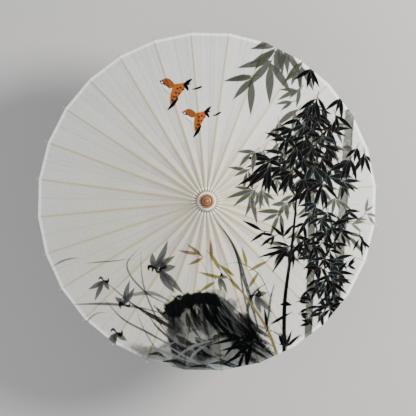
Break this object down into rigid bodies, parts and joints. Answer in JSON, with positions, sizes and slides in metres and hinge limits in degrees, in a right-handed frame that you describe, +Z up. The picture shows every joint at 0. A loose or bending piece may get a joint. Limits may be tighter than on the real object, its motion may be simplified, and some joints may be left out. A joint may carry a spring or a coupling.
{
  "type": "oil paper umbrella",
  "caption": "Hand-held oil paper umbrella, open: paper canopy over split bamboo ribs that fold down on stretchers and a sliding runner, with a turned wooden cap and grip.",
  "frame": {"origin": "centre of the handle's end face", "axes": "+Z up the shaft, from the handle's end to the cap; one gap between two ribs is centred on +X and one on +Y"},
  "size_m": [0.83, 0.83, 0.5526],
  "materials": {
    "stained_wood": "satin",
    "bamboo": "satin",
    "oiled_paper": "satin"
  },
  "bodies": {
    "shaft_and_head": {"shaft": "stained_wood", "head_block": "stained_wood", "canopy": "oiled_paper"},
    "rib_01": {"rib_01": "bamboo"},
    "stretcher_01": {"stretcher_01": "bamboo"},
    "rib_02": {"rib_02": "bamboo"},
    "stretcher_02": {"stretcher_02": "bamboo"},
    "rib_03": {"rib_03": "bamboo"},
    "stretcher_03": {"stretcher_03": "bamboo"},
    "rib_04": {"rib_04": "bamboo"},
    "stretcher_04": {"stretcher_04": "bamboo"},
    "rib_05": {"rib_05": "bamboo"},
    "stretcher_05": {"stretcher_05": "bamboo"},
    "rib_06": {"rib_06": "bamboo"},
    "stretcher_06": {"stretcher_06": "bamboo"},
    "rib_07": {"rib_07": "bamboo"},
    "stretcher_07": {"stretcher_07": "bamboo"},
    "rib_08": {"rib_08": "bamboo"},
    "stretcher_08": {"stretcher_08": "bamboo"},
    "rib_09": {"rib_09": "bamboo"},
    "stretcher_09": {"stretcher_09": "bamboo"},
    "rib_10": {"rib_10": "bamboo"},
    "stretcher_10": {"stretcher_10": "bamboo"},
    "rib_11": {"rib_11": "bamboo"},
    "stretcher_11": {"stretcher_11": "bamboo"},
    "rib_12": {"rib_12": "bamboo"},
    "stretcher_12": {"stretcher_12": "bamboo"},
    "rib_13": {"rib_13": "bamboo"},
    "stretcher_13": {"stretcher_13": "bamboo"},
    "rib_14": {"rib_14": "bamboo"},
    "stretcher_14": {"stretcher_14": "bamboo"},
    "rib_15": {"rib_15": "bamboo"},
    "stretcher_15": {"stretcher_15": "bamboo"},
    "rib_16": {"rib_16": "bamboo"},
    "stretcher_16": {"stretcher_16": "bamboo"},
    "rib_17": {"rib_17": "bamboo"},
    "stretcher_17": {"stretcher_17": "bamboo"},
    "rib_18": {"rib_18": "bamboo"},
    "stretcher_18": {"stretcher_18": "bamboo"},
    "rib_19": {"rib_19": "bamboo"},
    "stretcher_19": {"stretcher_19": "bamboo"},
    "rib_20": {"rib_20": "bamboo"},
    "stretcher_20": {"stretcher_20": "bamboo"},
    "rib_21": {"rib_21": "bamboo"},
    "stretcher_21": {"stretcher_21": "bamboo"},
    "rib_22": {"rib_22": "bamboo"},
    "stretcher_22": {"stretcher_22": "bamboo"},
    "rib_23": {"rib_23": "bamboo"},
    "stretcher_23": {"stretcher_23": "bamboo"},
    "rib_24": {"rib_24": "bamboo"},
    "stretcher_24": {"stretcher_24": "bamboo"},
    "rib_25": {"rib_25": "bamboo"},
    "stretcher_25": {"stretcher_25": "bamboo"},
    "rib_26": {"rib_26": "bamboo"},
    "stretcher_26": {"stretcher_26": "bamboo"},
    "rib_27": {"rib_27": "bamboo"},
    "stretcher_27": {"stretcher_27": "bamboo"},
    "rib_28": {"rib_28": "bamboo"},
    "stretcher_28": {"stretcher_28": "bamboo"},
    "runner": {"runner": "stained_wood"}
  },
  "joints": [
    {"name": "rib_01_pivot", "type": "hinge", "parent": "shaft_and_head", "child": "rib_01", "pos_m": [0.01491, 0.00168, 0.525], "axis": [-0.112, 0.9937, 0], "range_deg": [0, 65.5], "deforming": ["canopy"]},
    {"name": "stretcher_01_joint", "type": "hinge", "parent": "rib_01", "child": "stretcher_01", "pos_m": [0.19918, 0.02244, 0.45008], "axis": [-0.112, 0.9937, 0], "range_deg": [-131, 0]},
    {"name": "rib_02_pivot", "type": "hinge", "parent": "shaft_and_head", "child": "rib_02", "pos_m": [0.01416, 0.00495, 0.525], "axis": [-0.3303, 0.9439, 0], "range_deg": [0, 65.5]},
    {"name": "stretcher_02_joint", "type": "hinge", "parent": "rib_02", "child": "stretcher_02", "pos_m": [0.18919, 0.0662, 0.45008], "axis": [-0.3303, 0.9439, 0], "range_deg": [-131, 0]},
    {"name": "rib_03_pivot", "type": "hinge", "parent": "shaft_and_head", "child": "rib_03", "pos_m": [0.0127, 0.00798, 0.525], "axis": [-0.532, 0.8467, 0], "range_deg": [0, 65.5]},
    {"name": "stretcher_03_joint", "type": "hinge", "parent": "rib_03", "child": "stretcher_03", "pos_m": [0.16971, 0.10664, 0.45008], "axis": [-0.532, 0.8467, 0], "range_deg": [-131, 0]},
    {"name": "rib_04_pivot", "type": "hinge", "parent": "shaft_and_head", "child": "rib_04", "pos_m": [0.01061, 0.01061, 0.525], "axis": [-0.7071, 0.7071, 0], "range_deg": [0, 65.5]},
    {"name": "stretcher_04_joint", "type": "hinge", "parent": "rib_04", "child": "stretcher_04", "pos_m": [0.14173, 0.14173, 0.45008], "axis": [-0.7071, 0.7071, 0], "range_deg": [-131, 0]},
    {"name": "rib_05_pivot", "type": "hinge", "parent": "shaft_and_head", "child": "rib_05", "pos_m": [0.00798, 0.0127, 0.525], "axis": [-0.8467, 0.532, 0], "range_deg": [0, 65.5]},
    {"name": "stretcher_05_joint", "type": "hinge", "parent": "rib_05", "child": "stretcher_05", "pos_m": [0.10664, 0.16971, 0.45008], "axis": [-0.8467, 0.532, 0], "range_deg": [-131, 0]},
    {"name": "rib_06_pivot", "type": "hinge", "parent": "shaft_and_head", "child": "rib_06", "pos_m": [0.00495, 0.01416, 0.525], "axis": [-0.9439, 0.3303, 0], "range_deg": [0, 65.5]},
    {"name": "stretcher_06_joint", "type": "hinge", "parent": "rib_06", "child": "stretcher_06", "pos_m": [0.0662, 0.18919, 0.45008], "axis": [-0.9439, 0.3303, 0], "range_deg": [-131, 0]},
    {"name": "rib_07_pivot", "type": "hinge", "parent": "shaft_and_head", "child": "rib_07", "pos_m": [0.00168, 0.01491, 0.525], "axis": [-0.9937, 0.112, 0], "range_deg": [0, 65.5]},
    {"name": "stretcher_07_joint", "type": "hinge", "parent": "rib_07", "child": "stretcher_07", "pos_m": [0.02244, 0.19918, 0.45008], "axis": [-0.9937, 0.112, 0], "range_deg": [-131, 0]},
    {"name": "rib_08_pivot", "type": "hinge", "parent": "shaft_and_head", "child": "rib_08", "pos_m": [-0.00168, 0.01491, 0.525], "axis": [-0.9937, -0.112, 0], "range_deg": [0, 65.5]},
    {"name": "stretcher_08_joint", "type": "hinge", "parent": "rib_08", "child": "stretcher_08", "pos_m": [-0.02244, 0.19918, 0.45008], "axis": [-0.9937, -0.112, 0], "range_deg": [-131, 0]},
    {"name": "rib_09_pivot", "type": "hinge", "parent": "shaft_and_head", "child": "rib_09", "pos_m": [-0.00495, 0.01416, 0.525], "axis": [-0.9439, -0.3303, 0], "range_deg": [0, 65.5]},
    {"name": "stretcher_09_joint", "type": "hinge", "parent": "rib_09", "child": "stretcher_09", "pos_m": [-0.0662, 0.18919, 0.45008], "axis": [-0.9439, -0.3303, 0], "range_deg": [-131, 0]},
    {"name": "rib_10_pivot", "type": "hinge", "parent": "shaft_and_head", "child": "rib_10", "pos_m": [-0.00798, 0.0127, 0.525], "axis": [-0.8467, -0.532, 0], "range_deg": [0, 65.5]},
    {"name": "stretcher_10_joint", "type": "hinge", "parent": "rib_10", "child": "stretcher_10", "pos_m": [-0.10664, 0.16971, 0.45008], "axis": [-0.8467, -0.532, 0], "range_deg": [-131, 0]},
    {"name": "rib_11_pivot", "type": "hinge", "parent": "shaft_and_head", "child": "rib_11", "pos_m": [-0.01061, 0.01061, 0.525], "axis": [-0.7071, -0.7071, 0], "range_deg": [0, 65.5]},
    {"name": "stretcher_11_joint", "type": "hinge", "parent": "rib_11", "child": "stretcher_11", "pos_m": [-0.14173, 0.14173, 0.45008], "axis": [-0.7071, -0.7071, 0], "range_deg": [-131, 0]},
    {"name": "rib_12_pivot", "type": "hinge", "parent": "shaft_and_head", "child": "rib_12", "pos_m": [-0.0127, 0.00798, 0.525], "axis": [-0.532, -0.8467, 0], "range_deg": [0, 65.5]},
    {"name": "stretcher_12_joint", "type": "hinge", "parent": "rib_12", "child": "stretcher_12", "pos_m": [-0.16971, 0.10664, 0.45008], "axis": [-0.532, -0.8467, 0], "range_deg": [-131, 0]},
    {"name": "rib_13_pivot", "type": "hinge", "parent": "shaft_and_head", "child": "rib_13", "pos_m": [-0.01416, 0.00495, 0.525], "axis": [-0.3303, -0.9439, 0], "range_deg": [0, 65.5]},
    {"name": "stretcher_13_joint", "type": "hinge", "parent": "rib_13", "child": "stretcher_13", "pos_m": [-0.18919, 0.0662, 0.45008], "axis": [-0.3303, -0.9439, 0], "range_deg": [-131, 0]},
    {"name": "rib_14_pivot", "type": "hinge", "parent": "shaft_and_head", "child": "rib_14", "pos_m": [-0.01491, 0.00168, 0.525], "axis": [-0.112, -0.9937, 0], "range_deg": [0, 65.5]},
    {"name": "stretcher_14_joint", "type": "hinge", "parent": "rib_14", "child": "stretcher_14", "pos_m": [-0.19918, 0.02244, 0.45008], "axis": [-0.112, -0.9937, 0], "range_deg": [-131, 0]},
    {"name": "rib_15_pivot", "type": "hinge", "parent": "shaft_and_head", "child": "rib_15", "pos_m": [-0.01491, -0.00168, 0.525], "axis": [0.112, -0.9937, 0], "range_deg": [0, 65.5]},
    {"name": "stretcher_15_joint", "type": "hinge", "parent": "rib_15", "child": "stretcher_15", "pos_m": [-0.19918, -0.02244, 0.45008], "axis": [0.112, -0.9937, 0], "range_deg": [-131, 0]},
    {"name": "rib_16_pivot", "type": "hinge", "parent": "shaft_and_head", "child": "rib_16", "pos_m": [-0.01416, -0.00495, 0.525], "axis": [0.3303, -0.9439, 0], "range_deg": [0, 65.5]},
    {"name": "stretcher_16_joint", "type": "hinge", "parent": "rib_16", "child": "stretcher_16", "pos_m": [-0.18919, -0.0662, 0.45008], "axis": [0.3303, -0.9439, 0], "range_deg": [-131, 0]},
    {"name": "rib_17_pivot", "type": "hinge", "parent": "shaft_and_head", "child": "rib_17", "pos_m": [-0.0127, -0.00798, 0.525], "axis": [0.532, -0.8467, 0], "range_deg": [0, 65.5]},
    {"name": "stretcher_17_joint", "type": "hinge", "parent": "rib_17", "child": "stretcher_17", "pos_m": [-0.16971, -0.10664, 0.45008], "axis": [0.532, -0.8467, 0], "range_deg": [-131, 0]},
    {"name": "rib_18_pivot", "type": "hinge", "parent": "shaft_and_head", "child": "rib_18", "pos_m": [-0.01061, -0.01061, 0.525], "axis": [0.7071, -0.7071, 0], "range_deg": [0, 65.5]},
    {"name": "stretcher_18_joint", "type": "hinge", "parent": "rib_18", "child": "stretcher_18", "pos_m": [-0.14173, -0.14173, 0.45008], "axis": [0.7071, -0.7071, 0], "range_deg": [-131, 0]},
    {"name": "rib_19_pivot", "type": "hinge", "parent": "shaft_and_head", "child": "rib_19", "pos_m": [-0.00798, -0.0127, 0.525], "axis": [0.8467, -0.532, 0], "range_deg": [0, 65.5]},
    {"name": "stretcher_19_joint", "type": "hinge", "parent": "rib_19", "child": "stretcher_19", "pos_m": [-0.10664, -0.16971, 0.45008], "axis": [0.8467, -0.532, 0], "range_deg": [-131, 0]},
    {"name": "rib_20_pivot", "type": "hinge", "parent": "shaft_and_head", "child": "rib_20", "pos_m": [-0.00495, -0.01416, 0.525], "axis": [0.9439, -0.3303, 0], "range_deg": [0, 65.5]},
    {"name": "stretcher_20_joint", "type": "hinge", "parent": "rib_20", "child": "stretcher_20", "pos_m": [-0.0662, -0.18919, 0.45008], "axis": [0.9439, -0.3303, 0], "range_deg": [-131, 0]},
    {"name": "rib_21_pivot", "type": "hinge", "parent": "shaft_and_head", "child": "rib_21", "pos_m": [-0.00168, -0.01491, 0.525], "axis": [0.9937, -0.112, 0], "range_deg": [0, 65.5]},
    {"name": "stretcher_21_joint", "type": "hinge", "parent": "rib_21", "child": "stretcher_21", "pos_m": [-0.02244, -0.19918, 0.45008], "axis": [0.9937, -0.112, 0], "range_deg": [-131, 0]},
    {"name": "rib_22_pivot", "type": "hinge", "parent": "shaft_and_head", "child": "rib_22", "pos_m": [0.00168, -0.01491, 0.525], "axis": [0.9937, 0.112, 0], "range_deg": [0, 65.5]},
    {"name": "stretcher_22_joint", "type": "hinge", "parent": "rib_22", "child": "stretcher_22", "pos_m": [0.02244, -0.19918, 0.45008], "axis": [0.9937, 0.112, 0], "range_deg": [-131, 0]},
    {"name": "rib_23_pivot", "type": "hinge", "parent": "shaft_and_head", "child": "rib_23", "pos_m": [0.00495, -0.01416, 0.525], "axis": [0.9439, 0.3303, 0], "range_deg": [0, 65.5]},
    {"name": "stretcher_23_joint", "type": "hinge", "parent": "rib_23", "child": "stretcher_23", "pos_m": [0.0662, -0.18919, 0.45008], "axis": [0.9439, 0.3303, 0], "range_deg": [-131, 0]},
    {"name": "rib_24_pivot", "type": "hinge", "parent": "shaft_and_head", "child": "rib_24", "pos_m": [0.00798, -0.0127, 0.525], "axis": [0.8467, 0.532, 0], "range_deg": [0, 65.5]},
    {"name": "stretcher_24_joint", "type": "hinge", "parent": "rib_24", "child": "stretcher_24", "pos_m": [0.10664, -0.16971, 0.45008], "axis": [0.8467, 0.532, 0], "range_deg": [-131, 0]},
    {"name": "rib_25_pivot", "type": "hinge", "parent": "shaft_and_head", "child": "rib_25", "pos_m": [0.01061, -0.01061, 0.525], "axis": [0.7071, 0.7071, 0], "range_deg": [0, 65.5]},
    {"name": "stretcher_25_joint", "type": "hinge", "parent": "rib_25", "child": "stretcher_25", "pos_m": [0.14173, -0.14173, 0.45008], "axis": [0.7071, 0.7071, 0], "range_deg": [-131, 0]},
    {"name": "rib_26_pivot", "type": "hinge", "parent": "shaft_and_head", "child": "rib_26", "pos_m": [0.0127, -0.00798, 0.525], "axis": [0.532, 0.8467, 0], "range_deg": [0, 65.5]},
    {"name": "stretcher_26_joint", "type": "hinge", "parent": "rib_26", "child": "stretcher_26", "pos_m": [0.16971, -0.10664, 0.45008], "axis": [0.532, 0.8467, 0], "range_deg": [-131, 0]},
    {"name": "rib_27_pivot", "type": "hinge", "parent": "shaft_and_head", "child": "rib_27", "pos_m": [0.01416, -0.00495, 0.525], "axis": [0.3303, 0.9439, 0], "range_deg": [0, 65.5]},
    {"name": "stretcher_27_joint", "type": "hinge", "parent": "rib_27", "child": "stretcher_27", "pos_m": [0.18919, -0.0662, 0.45008], "axis": [0.3303, 0.9439, 0], "range_deg": [-131, 0]},
    {"name": "rib_28_pivot", "type": "hinge", "parent": "shaft_and_head", "child": "rib_28", "pos_m": [0.01491, -0.00168, 0.525], "axis": [0.112, 0.9937, 0], "range_deg": [0, 65.5]},
    {"name": "stretcher_28_joint", "type": "hinge", "parent": "rib_28", "child": "stretcher_28", "pos_m": [0.19918, -0.02244, 0.45008], "axis": [0.112, 0.9937, 0], "range_deg": [-131, 0]},
    {"name": "runner_pivot", "type": "hinge", "parent": "stretcher_01", "child": "runner", "pos_m": [0.01491, 0.00168, 0.37516], "axis": [-0.112, 0.9937, 0], "range_deg": [0, 65.5]}
  ],
  "couplings": [
    {"joint": "stretcher_01_joint", "follows": "rib_01_pivot", "ratio": -2},
    {"joint": "rib_02_pivot", "follows": "rib_01_pivot", "ratio": 1},
    {"joint": "stretcher_02_joint", "follows": "rib_01_pivot", "ratio": -2},
    {"joint": "rib_03_pivot", "follows": "rib_01_pivot", "ratio": 1},
    {"joint": "stretcher_03_joint", "follows": "rib_01_pivot", "ratio": -2},
    {"joint": "rib_04_pivot", "follows": "rib_01_pivot", "ratio": 1},
    {"joint": "stretcher_04_joint", "follows": "rib_01_pivot", "ratio": -2},
    {"joint": "rib_05_pivot", "follows": "rib_01_pivot", "ratio": 1},
    {"joint": "stretcher_05_joint", "follows": "rib_01_pivot", "ratio": -2},
    {"joint": "rib_06_pivot", "follows": "rib_01_pivot", "ratio": 1},
    {"joint": "stretcher_06_joint", "follows": "rib_01_pivot", "ratio": -2},
    {"joint": "rib_07_pivot", "follows": "rib_01_pivot", "ratio": 1},
    {"joint": "stretcher_07_joint", "follows": "rib_01_pivot", "ratio": -2},
    {"joint": "rib_08_pivot", "follows": "rib_01_pivot", "ratio": 1},
    {"joint": "stretcher_08_joint", "follows": "rib_01_pivot", "ratio": -2},
    {"joint": "rib_09_pivot", "follows": "rib_01_pivot", "ratio": 1},
    {"joint": "stretcher_09_joint", "follows": "rib_01_pivot", "ratio": -2},
    {"joint": "rib_10_pivot", "follows": "rib_01_pivot", "ratio": 1},
    {"joint": "stretcher_10_joint", "follows": "rib_01_pivot", "ratio": -2},
    {"joint": "rib_11_pivot", "follows": "rib_01_pivot", "ratio": 1},
    {"joint": "stretcher_11_joint", "follows": "rib_01_pivot", "ratio": -2},
    {"joint": "rib_12_pivot", "follows": "rib_01_pivot", "ratio": 1},
    {"joint": "stretcher_12_joint", "follows": "rib_01_pivot", "ratio": -2},
    {"joint": "rib_13_pivot", "follows": "rib_01_pivot", "ratio": 1},
    {"joint": "stretcher_13_joint", "follows": "rib_01_pivot", "ratio": -2},
    {"joint": "rib_14_pivot", "follows": "rib_01_pivot", "ratio": 1},
    {"joint": "stretcher_14_joint", "follows": "rib_01_pivot", "ratio": -2},
    {"joint": "rib_15_pivot", "follows": "rib_01_pivot", "ratio": 1},
    {"joint": "stretcher_15_joint", "follows": "rib_01_pivot", "ratio": -2},
    {"joint": "rib_16_pivot", "follows": "rib_01_pivot", "ratio": 1},
    {"joint": "stretcher_16_joint", "follows": "rib_01_pivot", "ratio": -2},
    {"joint": "rib_17_pivot", "follows": "rib_01_pivot", "ratio": 1},
    {"joint": "stretcher_17_joint", "follows": "rib_01_pivot", "ratio": -2},
    {"joint": "rib_18_pivot", "follows": "rib_01_pivot", "ratio": 1},
    {"joint": "stretcher_18_joint", "follows": "rib_01_pivot", "ratio": -2},
    {"joint": "rib_19_pivot", "follows": "rib_01_pivot", "ratio": 1},
    {"joint": "stretcher_19_joint", "follows": "rib_01_pivot", "ratio": -2},
    {"joint": "rib_20_pivot", "follows": "rib_01_pivot", "ratio": 1},
    {"joint": "stretcher_20_joint", "follows": "rib_01_pivot", "ratio": -2},
    {"joint": "rib_21_pivot", "follows": "rib_01_pivot", "ratio": 1},
    {"joint": "stretcher_21_joint", "follows": "rib_01_pivot", "ratio": -2},
    {"joint": "rib_22_pivot", "follows": "rib_01_pivot", "ratio": 1},
    {"joint": "stretcher_22_joint", "follows": "rib_01_pivot", "ratio": -2},
    {"joint": "rib_23_pivot", "follows": "rib_01_pivot", "ratio": 1},
    {"joint": "stretcher_23_joint", "follows": "rib_01_pivot", "ratio": -2},
    {"joint": "rib_24_pivot", "follows": "rib_01_pivot", "ratio": 1},
    {"joint": "stretcher_24_joint", "follows": "rib_01_pivot", "ratio": -2},
    {"joint": "rib_25_pivot", "follows": "rib_01_pivot", "ratio": 1},
    {"joint": "stretcher_25_joint", "follows": "rib_01_pivot", "ratio": -2},
    {"joint": "rib_26_pivot", "follows": "rib_01_pivot", "ratio": 1},
    {"joint": "stretcher_26_joint", "follows": "rib_01_pivot", "ratio": -2},
    {"joint": "rib_27_pivot", "follows": "rib_01_pivot", "ratio": 1},
    {"joint": "stretcher_27_joint", "follows": "rib_01_pivot", "ratio": -2},
    {"joint": "rib_28_pivot", "follows": "rib_01_pivot", "ratio": 1},
    {"joint": "stretcher_28_joint", "follows": "rib_01_pivot", "ratio": -2},
    {"joint": "runner_pivot", "follows": "rib_01_pivot", "ratio": 1}
  ]
}
